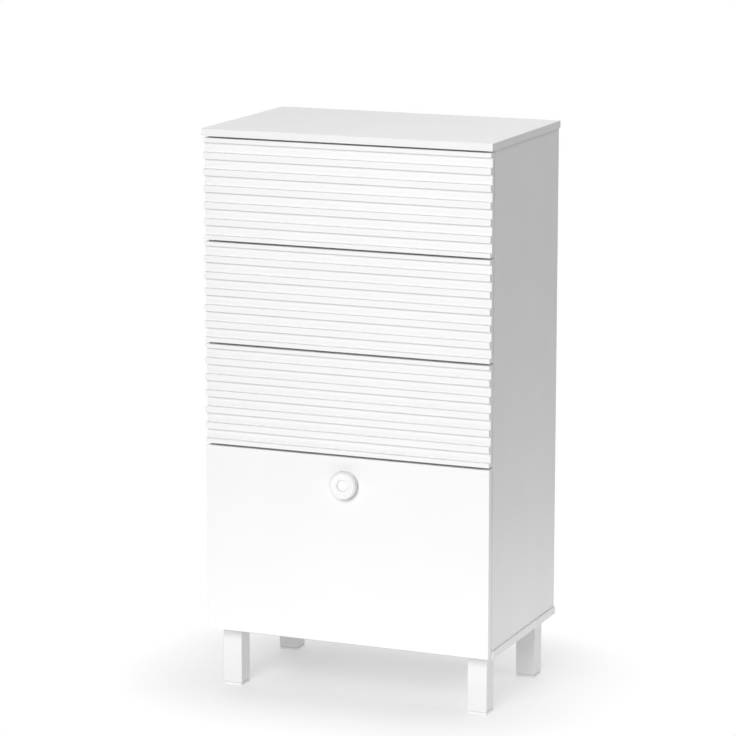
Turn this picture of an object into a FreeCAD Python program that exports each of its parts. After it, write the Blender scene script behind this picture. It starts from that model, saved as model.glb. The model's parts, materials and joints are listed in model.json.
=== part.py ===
import FreeCAD, Part
import math
import os

# Tall bathroom cabinet: three ribbed push-open drawers above a tilt-out laundry hamper, on four square legs.
# Millimetres. +Z is up and the front faces -Y. The origin is on the floor, in the middle of the outline.

# Boards
board = 15.0            # carcass boards
flap_board = 16.0       # plain lower front
ribbed_board = 19.0     # drawer fronts, over the ribs
box_board = 12.0        # drawer and hamper boxes
thin_board = 3.0        # hardboard back and drawer bottoms
arris = 0.8             # bevel on the edges that show
slot_depth = 6.0        # slots that hold the hardboard
slot_clearance = 0.2    # around the hardboard in its slots
running_gap = 0.3       # between pieces that move past each other
overrun = 5.0           # how far a cutter passes the face that it opens

# Carcass
carcass_width = 594.0
overhang = 3.0          # top and bottom panels past the sides
back_inset = 12.0       # hardboard back, in from the rear edges
front_clearance = 3.0   # between the fronts and the carcass edges
reveal = 3.0            # between one front and the next
strap_hole_spacing = 400.0
strap_hole_radius = 1.5
strap_hole_depth = 25.0

# Legs
leg_side = 40.0
leg_length = 114.0
leg_inset_side = 16.0
leg_inset_front = 17.5
leg_inset_back = 28.0
foot_height = 5.0
foot_neck_height = 1.0
foot_neck_inset = 2.0
leg_bolt_radius = 4.0
leg_bolt_in_leg = 30.0
leg_bolt_in_panel = 11.0

# Drawer fronts
drawer_count = 3
drawer_front_height = 199.0
channel_height = 19.2
channel_depth = 9.0
rib_height = 13.1
least_end_rib = 6.0

# Drawer boxes
box_height = 140.0
box_past_runner = 15.0  # drawer sides behind the rear ends of the runners
box_rise = 18.0         # above the lower edge of the drawer front
bottom_rise = 10.0      # drawer bottom above the lower edges of its sides

# Ball-bearing runners
runner_length = 300.0
runner_height = 45.0
runner_thickness = 12.7
runner_sheet = 1.2
runner_setback = 2.0    # behind the front edges of the carcass
runner_rise = 50.0      # middle of the runner above the drawer box's lower edge
web_clearance = 1.0
ball_radius = 1.5
ball_clearance = 0.1
rear_ball_shares = (0.60, 0.75, 0.90)
front_ball_shares = (0.10, 0.25, 0.40)
runner_screw_shares = (0.12, 0.88)
runner_screw_radius = 1.75
runner_screw_head_radius = 3.2
runner_screw_length = 12.0

# Push-open units behind the runners
push_travel = 2.5
push_unit_length = 28.0
push_unit_height = 30.0
push_nose_radius = 4.0
push_nose_length = 6.0
push_rear_gap = 6.2     # least gap to the hardboard back

# Cam fittings and dowels
fit_clearance = 0.1
cam_radius = 7.5
cam_depth = 12.0
cam_offset = 24.0       # cam's axis from the joint
cam_drive_width = 2.0
cam_drive_depth = 2.5
cam_bolt_radius = 3.0
cam_bolt_in_face = 11.0
cam_bolt_past_axis = 2.0
cam_shares = (0.14, 0.82)
dowel_shares = (0.26, 0.70)
carcass_dowel_radius = 4.0
carcass_dowel_in_face = 10.0
carcass_dowel_in_edge = 20.0
box_dowel_radius = 3.0
box_dowel_in_face = 7.0
box_dowel_in_edge = 17.0
box_dowel_shares = (0.30, 0.80)

# Divider and hamper
divider_drop = 4.0      # divider's top below the flap's upper edge
divider_setback = 2.0
flap_overlap = 11.0     # flap hangs in front of the bottom panel's edge
bin_depth = 300.0
bin_back_rise = 160.0   # upper edge of the bin's back, above the hinge's axis
bin_rear_gap = 48.0     # least gap to the hardboard back
bin_side_gap = 4.0
bin_floor_gap = 4.0
bin_top_gap = 18.8
tilt_angle = 38.0       # degrees
stop_spacing = 400.0
stop_width = 30.0
stop_depth = 22.0
stop_engagement = 12.0
bumper_radius = 5.0
bumper_drop = 20.0

# Piano hinge
hinge_end_gap = 12.0    # to the side panels
knuckle_count = 9
knuckle_radius = 2.5
knuckle_gap = 0.4
hinge_sheet = 1.0
hinge_leaf_height = 10.0
pin_radius = 1.25
pin_clearance = 0.05

# Knob
knob_radius = 28.0
knob_projection = 20.0
knob_drop = 55.0        # below the flap's upper edge
knob_neck_radius = 15.0
knob_neck_length = 5.0
knob_rim_radius = 4.5
knob_back_radius = 2.5
knob_dish_depth = 1.6
knob_recess_radius = 11.5
knob_recess_depth = 4.0
knob_screw_radius = 2.0
knob_screw_in_knob = 9.0
knob_screw_head_radius = 4.2
knob_screw_head_height = 2.6

# Planes that the pieces share
x_side = carcass_width / 2
x_inside = x_side - board
x_overhang = x_side + overhang
x_box = x_inside - runner_thickness
x_bin = x_inside - bin_side_gap
hinge_length = 2 * (x_inside - hinge_end_gap)
runner_reach = front_clearance + runner_setback + runner_length
push_reach = runner_reach + push_travel + running_gap + push_nose_length + push_unit_length
box_depth = runner_reach + box_past_runner
inner_depth = max(bin_depth + bin_rear_gap, push_reach + push_rear_gap)
side_depth = inner_depth - front_clearance + thin_board + back_inset
y_face = (knob_projection - flap_board - front_clearance - side_depth) / 2
y_crest = y_face + flap_board - ribbed_board
y_front_back = y_face + flap_board
y_carcass = y_front_back + front_clearance
y_rear = y_carcass + side_depth
y_back_panel = y_rear - back_inset - thin_board
z_underside = foot_height + foot_neck_height + leg_length
z_floor = z_underside + board
z_flap_bottom = z_floor - flap_overlap
y_hinge = y_front_back
z_hinge = z_flap_bottom - knuckle_radius - running_gap
bin_radius = math.hypot(bin_depth, bin_back_rise)
z_divider = z_hinge + bin_radius + bin_top_gap
z_flap_top = z_divider + board + divider_drop
z_knob = z_flap_top - knob_drop
z_under_top = z_flap_top + drawer_count * (drawer_front_height + reveal) + reveal
z_top = z_under_top + board
hands = (("left", -1), ("right", 1))
along_x = FreeCAD.Vector(1, 0, 0)
along_y = FreeCAD.Vector(0, 1, 0)
along_z = FreeCAD.Vector(0, 0, 1)


def block(low, high):
    """A box between two corners, given in either order along each axis."""
    start = FreeCAD.Vector(*map(min, low, high))
    size = FreeCAD.Vector(*map(max, low, high)) - start
    return Part.makeBox(size.x, size.y, size.z, start)


def beveled(low, high):
    """A board whose edges all have the small bevel."""
    solid = block(low, high)
    return solid.makeChamfer(arris, solid.Edges)


def rod(start, axis, radius, length):
    """A cylinder from a point along an axis."""
    return Part.makeCylinder(radius, length, FreeCAD.Vector(*start), axis)


def prism(points, axis, length):
    """A solid from a closed outline carried along an axis."""
    outline = [FreeCAD.Vector(*point) for point in points]
    return Part.Face(Part.makePolygon(outline + outline[:1])).extrude(axis * length)


def grown(radius):
    """The radius of the hole that takes a round piece."""
    return radius + fit_clearance


def save(node, *solids):
    """One file for a node, as a group where it holds several solids."""
    shape = solids[0] if len(solids) == 1 else Part.makeCompound(solids)
    shape.exportStep("parts/" + node + ".step")


def dowel(face_point, axis, radius, in_face, in_edge):
    """A dowel across a joint and the hole for it: the axis points from the face board into the edge board."""
    start = FreeCAD.Vector(*face_point) - axis * in_face
    peg = rod(start, axis, radius, in_face + in_edge)
    end_gap = axis * fit_clearance
    hole = rod(start - end_gap, axis, grown(radius), in_face + in_edge + 2 * fit_clearance)
    return peg, hole


def box_dowel(face_point, axis):
    """A dowel of the drawer and hamper boxes, with its hole."""
    return dowel(face_point, axis, box_dowel_radius, box_dowel_in_face, box_dowel_in_edge)


def cam_fitting(joint_point, bolt_axis, cam_axis, half_thickness):
    """A cam disc, its bolt and their bores. The bolt runs along the middle of the board that holds the disc.

    The disc turns about cam_axis, which points from the board's open face into the board.
    """
    joint = FreeCAD.Vector(*joint_point)
    bolt_length = cam_bolt_in_face + cam_offset + cam_bolt_past_axis
    bolt = rod(joint - bolt_axis * cam_bolt_in_face, bolt_axis, cam_bolt_radius, bolt_length)
    bolt_bore = rod(
        joint - bolt_axis * (cam_bolt_in_face + fit_clearance),
        bolt_axis,
        grown(cam_bolt_radius),
        bolt_length + 2 * fit_clearance,
    )
    face = joint + bolt_axis * cam_offset - cam_axis * half_thickness
    disc = rod(face, cam_axis, cam_radius, cam_depth)
    across = bolt_axis.cross(cam_axis)
    half_drive = cam_drive_width / 2
    for long_way, short_way in ((bolt_axis, across), (across, bolt_axis)):
        reach = long_way * (cam_radius / 2) + short_way * half_drive
        disc = disc.cut(block(face - reach, face + reach + cam_axis * cam_drive_depth))
    mouth = across * grown(cam_bolt_radius) + cam_axis * grown(cam_bolt_radius)
    far = face + cam_axis * half_thickness + bolt_axis * (cam_bolt_past_axis + fit_clearance)
    near = face + cam_axis * half_thickness - bolt_axis * (cam_radius + overrun)
    disc = disc.cut(block(near - mouth, far + mouth))
    pocket = rod(face - cam_axis * overrun, cam_axis, grown(cam_radius), cam_depth + overrun)
    return disc, bolt, bolt_bore.fuse(pocket)


def carcass_joint(z_joint, into_side):
    """Cam fittings and dowels where the sides meet the top or bottom panel; into_side is +Z or -Z."""
    discs, bolts, pegs, bores = [], [], [], []
    for name, hand in hands:
        x_middle = hand * (x_side - board / 2)
        for share in cam_shares:
            point = (x_middle, y_carcass + share * side_depth, z_joint)
            disc, bolt, bore = cam_fitting(point, into_side, along_x * hand, board / 2)
            discs.append(disc)
            bolts.append(bolt)
            bores.append(bore)
        for share in dowel_shares:
            point = (x_middle, y_carcass + share * side_depth, z_joint)
            peg, hole = dowel(
                point, into_side, carcass_dowel_radius, carcass_dowel_in_face, carcass_dowel_in_edge
            )
            pegs.append(peg)
            bores.append(hole)
    return discs, bolts, pegs, bores


def divider_joint():
    """Cam fittings and dowels at the ends of the divider; the cams lie in its underside."""
    discs, bolts, pegs, bores = [], [], [], []
    z_middle = z_divider + board / 2
    for name, hand in hands:
        for share in cam_shares:
            point = (hand * x_inside, y_carcass + share * side_depth, z_middle)
            disc, bolt, bore = cam_fitting(point, along_x * -hand, along_z, board / 2)
            discs.append(disc)
            bolts.append(bolt)
            bores.append(bore)
        for share in dowel_shares:
            point = (hand * x_inside, y_carcass + share * side_depth, z_middle)
            peg, hole = dowel(
                point, along_x * -hand, carcass_dowel_radius, carcass_dowel_in_face, carcass_dowel_in_edge
            )
            pegs.append(peg)
            bores.append(hole)
    return discs, bolts, pegs, bores


def drawer_bottom_edge(number):
    """Lower edge of a drawer front, counted from the top."""
    return z_under_top - number * (drawer_front_height + reveal)


def runner_place(number):
    """Front end and middle height of a drawer's runners."""
    z_box = drawer_bottom_edge(number) + box_rise
    return y_carcass + runner_setback, z_box + runner_rise


def channel_section(hand, number, x_web, x_tip, half_height):
    """A runner member: a web and two flanges, at distances x_web and x_tip from the side panel's face."""
    y_start, z_middle = runner_place(number)
    toward = 1 if x_tip > x_web else -1
    x_flange = x_web + toward * runner_sheet
    half_inside = half_height - runner_sheet
    section = [
        (x_web, -half_height),
        (x_tip, -half_height),
        (x_tip, -half_inside),
        (x_flange, -half_inside),
        (x_flange, half_inside),
        (x_tip, half_inside),
        (x_tip, half_height),
        (x_web, half_height),
    ]
    points = [(hand * (x_inside - x), y_start, z_middle + z) for x, z in section]
    return prism(points, along_y, runner_length)


def runner_screw(hand, number, share):
    """A countersunk screw through the cabinet member's web into the side panel, and its hole."""
    y_start, z_middle = runner_place(number)
    head = (hand * (x_inside - runner_sheet), y_start + share * runner_length, z_middle)
    outwards = along_x * hand
    mouth = FreeCAD.Vector(*head)
    hole_radius = grown(runner_screw_radius)
    cone = Part.makeCone(runner_screw_head_radius, runner_screw_radius, runner_sheet, mouth, outwards)
    screw = cone.fuse(rod(head, outwards, runner_screw_radius, runner_screw_length))
    sink = Part.makeCone(grown(runner_screw_head_radius), hole_radius, runner_sheet, mouth, outwards)
    hole = sink.fuse(rod(head, outwards, hole_radius, runner_screw_length + fit_clearance))
    return screw.removeSplitter(), hole


def push_unit(hand, number):
    """Push-open unit on the side panel behind a runner: a housing with its nose towards the drawer."""
    y_start, z_middle = runner_place(number)
    y_tip = y_start + runner_length + push_travel + running_gap
    y_body = y_tip + push_nose_length
    half_height = push_unit_height / 2
    x_face = hand * (x_inside - runner_thickness + web_clearance)
    body = block(
        (hand * x_inside, y_body, z_middle - half_height),
        (x_face, y_body + push_unit_length, z_middle + half_height),
    )
    x_nose = hand * (x_inside - runner_thickness / 2)
    nose = rod((x_nose, y_tip, z_middle), along_y, push_nose_radius, push_nose_length + overrun)
    return body.fuse(nose)


def runners(number):
    """The three nested members of both runners of a drawer, with their balls and screws."""
    race = 2 * (ball_radius + ball_clearance)
    outer_half = runner_height / 2
    middle_half = outer_half - runner_sheet - race
    inner_half = middle_half - runner_sheet - race
    x_middle_web = runner_sheet + web_clearance
    x_middle_tip = runner_thickness - runner_sheet - web_clearance
    x_outer_tip = x_middle_tip - web_clearance
    x_inner_tip = x_middle_web + runner_sheet + web_clearance
    y_start, z_middle = runner_place(number)
    rows = (
        (rear_ball_shares, (x_middle_web + x_outer_tip) / 2, middle_half + race / 2),
        (front_ball_shares, (x_inner_tip + x_middle_tip) / 2, inner_half + race / 2),
    )
    outer, middle, inner, balls, screws, holes = [], [], [], [], [], []
    for name, hand in hands:
        member = channel_section(hand, number, 0, x_outer_tip, outer_half)
        for share in runner_screw_shares:
            screw, hole = runner_screw(hand, number, share)
            member = member.cut(hole)
            screws.append(screw)
            holes.append(hole)
        outer.append(member)
        middle.append(channel_section(hand, number, x_middle_web, x_middle_tip, middle_half))
        inner.append(channel_section(hand, number, runner_thickness, x_inner_tip, inner_half))
        for shares, x_row, z_row in rows:
            for share in shares:
                for z_sign in (-1, 1):
                    centre = FreeCAD.Vector(
                        hand * (x_inside - x_row), y_start + share * runner_length, z_middle + z_sign * z_row
                    )
                    balls.append(Part.makeSphere(ball_radius, centre))
    return outer, middle, inner, balls, screws, holes


def ribbed_front(z_low):
    """A drawer front: level ribs and channels across the whole width, cut into the outer face."""
    z_high = z_low + drawer_front_height
    pitch = channel_height + rib_height
    channel_count = int((drawer_front_height - 2 * least_end_rib + rib_height) // pitch)
    end_rib = (drawer_front_height + rib_height - channel_count * pitch) / 2
    y_channel = y_crest + channel_depth
    outline = [(-x_side, y_front_back, z_high), (-x_side, y_front_back, z_low)]
    rib_low = z_low
    for rib in range(channel_count + 1):
        height = end_rib if rib in (0, channel_count) else rib_height
        rib_top = rib_low + height
        if rib > 0:
            outline.append((-x_side, y_channel, rib_low))
        outline.append((-x_side, y_crest + arris, rib_low))
        outline.append((-x_side, y_crest, rib_low + arris))
        outline.append((-x_side, y_crest, rib_top - arris))
        outline.append((-x_side, y_crest + arris, rib_top))
        if rib < channel_count:
            outline.append((-x_side, y_channel, rib_top))
        rib_low = rib_top + channel_height
    return prism(outline, along_x, carcass_width)


def drawer(number):
    """The boards and dowels of one drawer; its hardboard bottom slides in under the back."""
    prefix = "drawer_" + str(number) + "_"
    z_low = drawer_bottom_edge(number)
    z_box = z_low + box_rise
    z_box_top = z_box + box_height
    y_end = y_front_back + box_depth
    z_slot = z_box + bottom_rise
    z_slot_top = z_slot + thin_board + 2 * slot_clearance
    x_in = x_box - box_board
    x_slot = x_in + slot_depth
    y_slot = y_front_back - slot_depth
    slot = block((-x_slot, y_slot, z_slot), (x_slot, y_end + overrun, z_slot_top))
    sheet = block(
        (-x_slot + slot_clearance, y_slot + slot_clearance, z_slot + slot_clearance),
        (x_slot - slot_clearance, y_end, z_slot_top - slot_clearance),
    )
    back = block((-x_in, y_end - box_board, z_slot_top), (x_in, y_end, z_box_top))
    front = ribbed_front(z_low).cut(slot)
    pegs = []
    for name, hand in hands:
        side = block((hand * x_box, y_front_back, z_box), (hand * x_in, y_end, z_box_top)).cut(slot)
        x_middle = hand * (x_box - box_board / 2)
        for share in box_dowel_shares:
            z_peg = z_box + share * box_height
            peg, hole = box_dowel((x_middle, y_front_back, z_peg), along_y)
            front = front.cut(hole)
            side = side.cut(hole)
            pegs.append(peg)
            peg, hole = box_dowel((hand * x_in, y_end - box_board / 2, z_peg), along_x * -hand)
            side = side.cut(hole)
            back = back.cut(hole)
            pegs.append(peg)
        save(prefix + name + "_side", side)
    save(prefix + "front", front)
    save(prefix + "back", back)
    save(prefix + "bottom", sheet)
    save(prefix + "dowels", *pegs)


def bin_side(hand):
    """A side of the hamper: its upper edge is an arc about the hinge, so that it clears the divider."""
    x_outer = hand * x_bin
    z_low = z_floor + bin_floor_gap
    corner_angle = math.atan2(bin_back_rise, bin_depth)
    mid_angle = (corner_angle + math.pi / 2) / 2

    def on_arc(angle):
        return FreeCAD.Vector(
            x_outer, y_hinge + bin_radius * math.cos(angle), z_hinge + bin_radius * math.sin(angle)
        )

    front_low = FreeCAD.Vector(x_outer, y_front_back, z_low)
    back_low = FreeCAD.Vector(x_outer, y_front_back + bin_depth, z_low)
    front_high = on_arc(math.pi / 2)
    back_high = on_arc(corner_angle)
    edges = [
        Part.makeLine(back_low, front_low),
        Part.makeLine(front_low, front_high),
        Part.Arc(front_high, on_arc(mid_angle), back_high).toShape(),
        Part.makeLine(back_high, back_low),
    ]
    return Part.Face(Part.Wire(edges)).extrude(along_x * (-hand * box_board))


def hamper():
    """The flap with its box of boards, dowelled together, and the knob."""
    x_in = x_bin - box_board
    z_low = z_floor + bin_floor_gap
    z_inside = z_low + box_board
    y_end = y_front_back + bin_depth
    z_back_top = z_hinge + bin_back_rise
    floor = block((-x_in, y_front_back, z_low), (x_in, y_end, z_inside))
    back = block((-x_in, y_end - box_board, z_inside), (x_in, y_end, z_back_top))
    flap = beveled((-x_side, y_face, z_flap_bottom), (x_side, y_front_back, z_flap_top))
    back_height = z_back_top - z_inside
    pegs = []
    for name, hand in hands:
        side = bin_side(hand)
        x_middle = hand * (x_bin - box_board / 2)
        for share in box_dowel_shares:
            peg, hole = box_dowel((x_middle, y_front_back, z_low + share * bin_radius), along_y)
            flap = flap.cut(hole)
            side = side.cut(hole)
            pegs.append(peg)
            z_peg = z_inside + share * back_height
            peg, hole = box_dowel((hand * x_in, y_end - box_board / 2, z_peg), along_x * -hand)
            back = back.cut(hole)
            side = side.cut(hole)
            pegs.append(peg)
            y_peg = y_front_back + share * bin_depth
            peg, hole = box_dowel((hand * x_in, y_peg, z_low + box_board / 2), along_x * -hand)
            floor = floor.cut(hole)
            side = side.cut(hole)
            pegs.append(peg)
        save("bin_" + name + "_side", side)
    knob, screw, screw_hole = knob_and_screw()
    save("laundry_flap", flap.cut(screw_hole))
    save("bin_back", back)
    save("bin_floor", floor)
    save("bin_dowels", *pegs)
    save("knob", knob)
    save("knob_screw", screw)


def knob_and_screw():
    """A turned disc knob on a neck, dished, with a round recess; its screw comes from inside the flap.

    The outline is drawn as radius and distance from the flap's face, then turned about the knob's axis.
    """
    neck = knob_neck_length
    front = knob_projection
    recess_floor = front - knob_dish_depth - knob_recess_depth
    recess_rim = front - knob_dish_depth
    corner_share = 1 - math.sqrt(0.5)

    def at(radius, distance):
        return FreeCAD.Vector(radius, y_face - distance, z_knob)

    back_bend = at(knob_radius - corner_share * knob_back_radius, neck + corner_share * knob_back_radius)
    rim_bend = at(knob_radius - corner_share * knob_rim_radius, front - corner_share * knob_rim_radius)
    back_start = at(knob_radius - knob_back_radius, neck)
    back_end = at(knob_radius, neck + knob_back_radius)
    rim_start = at(knob_radius, front - knob_rim_radius)
    rim_end = at(knob_radius - knob_rim_radius, front)
    edges = [
        Part.makeLine(at(0, 0), at(knob_neck_radius, 0)),
        Part.makeLine(at(knob_neck_radius, 0), at(knob_neck_radius, neck)),
        Part.makeLine(at(knob_neck_radius, neck), back_start),
        Part.Arc(back_start, back_bend, back_end).toShape(),
        Part.makeLine(back_end, rim_start),
        Part.Arc(rim_start, rim_bend, rim_end).toShape(),
        Part.makeLine(rim_end, at(knob_recess_radius, recess_rim)),
        Part.makeLine(at(knob_recess_radius, recess_rim), at(knob_recess_radius, recess_floor)),
        Part.makeLine(at(knob_recess_radius, recess_floor), at(0, recess_floor)),
        Part.makeLine(at(0, recess_floor), at(0, 0)),
    ]
    centre = FreeCAD.Vector(0, y_face, z_knob)
    knob = Part.Face(Part.Wire(edges)).revolve(centre, along_y, 360)
    tip = (0, y_face - knob_screw_in_knob, z_knob)
    shank_length = knob_screw_in_knob + flap_board
    head = rod((0, y_front_back, z_knob), along_y, knob_screw_head_radius, knob_screw_head_height)
    screw = rod(tip, along_y, knob_screw_radius, shank_length).fuse(head).removeSplitter()
    hole_start = (0, y_face - knob_screw_in_knob - fit_clearance, z_knob)
    hole = rod(hole_start, along_y, grown(knob_screw_radius), shank_length + fit_clearance)
    return knob.cut(hole), screw, hole


def hinge():
    """A piano hinge under the flap's lower edge: knuckles in turn on the carcass leaf and the flap leaf."""
    pitch = hinge_length / knuckle_count
    x_start = -hinge_length / 2
    z_leaf = z_hinge + knuckle_radius + running_gap
    z_tab = z_hinge + knuckle_radius - hinge_sheet
    z_leaf_top = z_leaf + hinge_leaf_height
    y_plate = y_carcass - hinge_sheet
    x_end = x_start + hinge_length
    base = block((x_start, y_plate, z_leaf), (x_end, y_carcass, z_leaf_top))
    moving = block((x_start, y_hinge, z_leaf), (x_end, y_hinge + hinge_sheet, z_leaf_top))
    for index in range(knuckle_count):
        x_low = x_start + index * pitch + knuckle_gap / 2
        x_high = x_low + pitch - knuckle_gap
        barrel = rod((x_low, y_hinge, z_hinge), along_x, knuckle_radius, pitch - knuckle_gap)
        if index % 2 == 0:
            strip = block((x_low, y_hinge, z_tab), (x_high, y_carcass, z_tab + hinge_sheet))
            riser = block((x_low, y_plate, z_tab), (x_high, y_carcass, z_leaf))
            base = base.fuse([barrel, strip, riser])
        else:
            riser = block((x_low, y_hinge, z_tab), (x_high, y_hinge + hinge_sheet, z_leaf))
            moving = moving.fuse([barrel, riser])
    pin_start = (x_start, y_hinge, z_hinge)
    pin = rod(pin_start, along_x, pin_radius, hinge_length)
    bore_start = (x_start - overrun, y_hinge, z_hinge)
    bore = rod(bore_start, along_x, pin_radius + pin_clearance, hinge_length + 2 * overrun)
    save("hinge_base_leaf", base.cut(bore).removeSplitter())
    save("hinge_flap_leaf", moving.cut(bore).removeSplitter())
    save("hinge_pin", pin)


def stops():
    """Blocks under the divider that the hamper's back meets at full tilt, and bumpers behind the flap."""
    tilt = math.radians(tilt_angle)
    inner = bin_depth - box_board
    y_meet = y_hinge + inner * math.cos(tilt) - bin_back_rise * math.sin(tilt) - running_gap
    z_meet = z_hinge + inner * math.sin(tilt) + bin_back_rise * math.cos(tilt)
    blocks, bumpers = [], []
    for name, hand in hands:
        x_low = hand * stop_spacing / 2 - stop_width / 2
        blocks.append(
            block(
                (x_low, y_meet - stop_depth, z_meet - stop_engagement),
                (x_low + stop_width, y_meet, z_divider),
            )
        )
        start = (hand * (x_side - board / 2), y_front_back + running_gap, z_flap_top - bumper_drop)
        bumpers.append(rod(start, along_y, bumper_radius, front_clearance - running_gap))
    save("tilt_stop_blocks", *blocks)
    save("flap_bumpers", *bumpers)


def legs():
    """Square legs bolted to the bottom panel, on foot pads with a narrow shadow gap."""
    z_leg = foot_height + foot_neck_height
    feet, bolts, holes = [], [], []
    places = (
        ("front", y_carcass + leg_inset_front),
        ("back", y_rear - leg_inset_back - leg_side),
    )
    for row, y_low in places:
        for name, hand in hands:
            x_outer = hand * (x_side - leg_inset_side)
            x_low = min(x_outer, x_outer - hand * leg_side)
            leg = beveled((x_low, y_low, z_leg), (x_low + leg_side, y_low + leg_side, z_underside))
            middle = (x_low + leg_side / 2, y_low + leg_side / 2)
            bolt_low = z_underside - leg_bolt_in_leg
            bolt_length = leg_bolt_in_leg + leg_bolt_in_panel
            bolts.append(rod((*middle, bolt_low), along_z, leg_bolt_radius, bolt_length))
            hole = rod(
                (*middle, bolt_low - fit_clearance),
                along_z,
                grown(leg_bolt_radius),
                bolt_length + 2 * fit_clearance,
            )
            holes.append(hole)
            save(row + "_" + name + "_leg", leg.cut(hole))
            pad = beveled((x_low, y_low, 0), (x_low + leg_side, y_low + leg_side, foot_height))
            neck = block(
                (x_low + foot_neck_inset, y_low + foot_neck_inset, foot_height),
                (x_low + leg_side - foot_neck_inset, y_low + leg_side - foot_neck_inset, z_leg),
            )
            feet.append(pad.fuse(neck))
    save("foot_pads", *feet)
    save("leg_bolts", *bolts)
    return holes


def strap_holes():
    """Pilot holes in the rear edge of the top panel, above its slot, for a wall strap's screws."""
    z_middle = (z_under_top + slot_depth + z_top) / 2
    x_hole = strap_hole_spacing / 2
    return [
        rod((hand * x_hole, y_rear, z_middle), along_y * -1, strap_hole_radius, strap_hole_depth)
        for name, hand in hands
    ]


def carcass(leg_holes, runner_holes):
    """The boards of the carcass with their slots, bores and fittings."""
    top_joint = carcass_joint(z_under_top, along_z * -1)
    bottom_joint = carcass_joint(z_floor, along_z)
    middle_joint = divider_joint()
    discs, bolts, pegs, bores = (
        first + second + third for first, second, third in zip(top_joint, bottom_joint, middle_joint)
    )
    x_slot = x_inside + slot_depth
    slot = block(
        (-x_slot, y_back_panel - slot_clearance, z_floor - slot_depth),
        (x_slot, y_back_panel + thin_board + slot_clearance, z_under_top + slot_depth),
    )
    back = block(
        (-x_slot + slot_clearance, y_back_panel, z_floor - slot_depth + slot_clearance),
        (x_slot - slot_clearance, y_back_panel + thin_board, z_under_top + slot_depth - slot_clearance),
    )
    top = beveled((-x_overhang, y_crest, z_under_top), (x_overhang, y_rear, z_top))
    bottom = beveled((-x_overhang, y_carcass, z_underside), (x_overhang, y_rear, z_floor))
    divider = block(
        (-x_inside, y_carcass + divider_setback, z_divider),
        (x_inside, y_back_panel - slot_clearance, z_divider + board),
    )
    for name, hand in hands:
        side = beveled((hand * x_inside, y_carcass, z_floor), (hand * x_side, y_rear, z_under_top))
        save(name + "_side_panel", side.cut([slot] + bores + runner_holes))
    save("top_panel", top.cut([slot] + top_joint[3] + strap_holes()))
    save("bottom_panel", bottom.cut([slot] + bottom_joint[3] + leg_holes))
    save("divider_shelf", divider.cut(middle_joint[3]))
    save("back_panel", back)
    save("cam_discs", *discs)
    save("cam_bolts", *bolts)
    save("carcass_dowels", *pegs)


os.makedirs("parts", exist_ok=True)
all_screws, all_screw_holes, push_units = [], [], []
for drawer_number in range(1, drawer_count + 1):
    drawer(drawer_number)
    outer, middle, inner, balls, screws, holes = runners(drawer_number)
    runner_prefix = "drawer_" + str(drawer_number) + "_"
    save(runner_prefix + "outer_runners", *outer)
    save(runner_prefix + "middle_runners", *middle)
    save(runner_prefix + "inner_runners", *inner)
    save(runner_prefix + "runner_balls", *balls)
    all_screws += screws
    all_screw_holes += holes
    push_units += [push_unit(hand, drawer_number) for name, hand in hands]
save("runner_screws", *all_screws)
save("push_open_units", *push_units)
hamper()
hinge()
stops()
carcass(legs(), all_screw_holes)
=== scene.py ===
import json
import math

import bpy
import numpy as np
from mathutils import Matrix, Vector


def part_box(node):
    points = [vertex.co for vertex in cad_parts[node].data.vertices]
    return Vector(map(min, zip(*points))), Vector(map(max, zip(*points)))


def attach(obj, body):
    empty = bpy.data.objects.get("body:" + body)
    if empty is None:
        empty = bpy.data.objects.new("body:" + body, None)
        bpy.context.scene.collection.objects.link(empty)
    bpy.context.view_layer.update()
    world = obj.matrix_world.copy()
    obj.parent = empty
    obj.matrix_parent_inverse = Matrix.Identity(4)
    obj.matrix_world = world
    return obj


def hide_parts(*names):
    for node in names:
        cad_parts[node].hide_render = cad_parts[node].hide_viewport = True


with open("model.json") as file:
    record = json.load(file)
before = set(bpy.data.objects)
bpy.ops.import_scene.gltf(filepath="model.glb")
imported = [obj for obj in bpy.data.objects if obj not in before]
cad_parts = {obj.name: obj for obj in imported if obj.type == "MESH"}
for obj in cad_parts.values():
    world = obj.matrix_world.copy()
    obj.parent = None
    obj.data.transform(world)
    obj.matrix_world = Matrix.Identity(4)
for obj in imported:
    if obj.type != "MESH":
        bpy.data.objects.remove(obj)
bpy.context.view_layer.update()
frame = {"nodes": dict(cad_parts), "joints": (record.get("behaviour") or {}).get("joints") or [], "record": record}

# White drawer cabinet: the boards, fronts, legs, knob and runners as finished surfaces, with their materials,
# a pale floor, soft studio light and the camera. Metres; +Z is up and the front faces -Y.

record = frame["record"]
body_of_node = {node: body for body, nodes in record["behaviour"]["bodies"].items() for node in nodes}
slot_of_node = {part["node"]: part["material_slot"] for part in record["subparts"]}
joint_named = {joint["name"]: joint for joint in frame["joints"]}
MM = 0.001
HANDS = {"left": -1, "right": 1}
DRAWERS = (1, 2, 3)
# A shape's two flat directions and its long one, for each axis that it may lie along
AXIS_ORDER = {"x": [1, 2, 0], "y": [2, 0, 1], "z": [0, 1, 2]}

# Fineness of the surfaces: steps in an arc, facets in a full turn, degrees up to which edges look smooth
CORNER_STEPS = 4
EASE_STEPS = 3
ARC_STEPS = 6
SLOT_END_STEPS = 6
ARCH_STEPS = 24
ARCH_CORNER_STEPS = 2
KNOB_DISH_STEPS = 15
KNOB_RIM_STEPS = 14
BUMPER_STEPS = 10
HOLE_FACETS = 32
SMALL_FACETS = 40
KNOB_FACETS = 96
FLOOR_FACETS = 96
SMOOTH_ANGLE = 40

# Rounding of the edges
BOARD_EASE = 0.9 * MM
SIDE_EASE = 1.4 * MM
FRONT_EASE = 0.6 * MM
LEG_EASE = 1.3 * MM
BOX_EASE = 0.8 * MM
FOOT_CORNER = 2.6 * MM
# Radius of a board's or a leg's corners as a share of its edge rounding
CORNER_SHARE = 1.25

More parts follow.
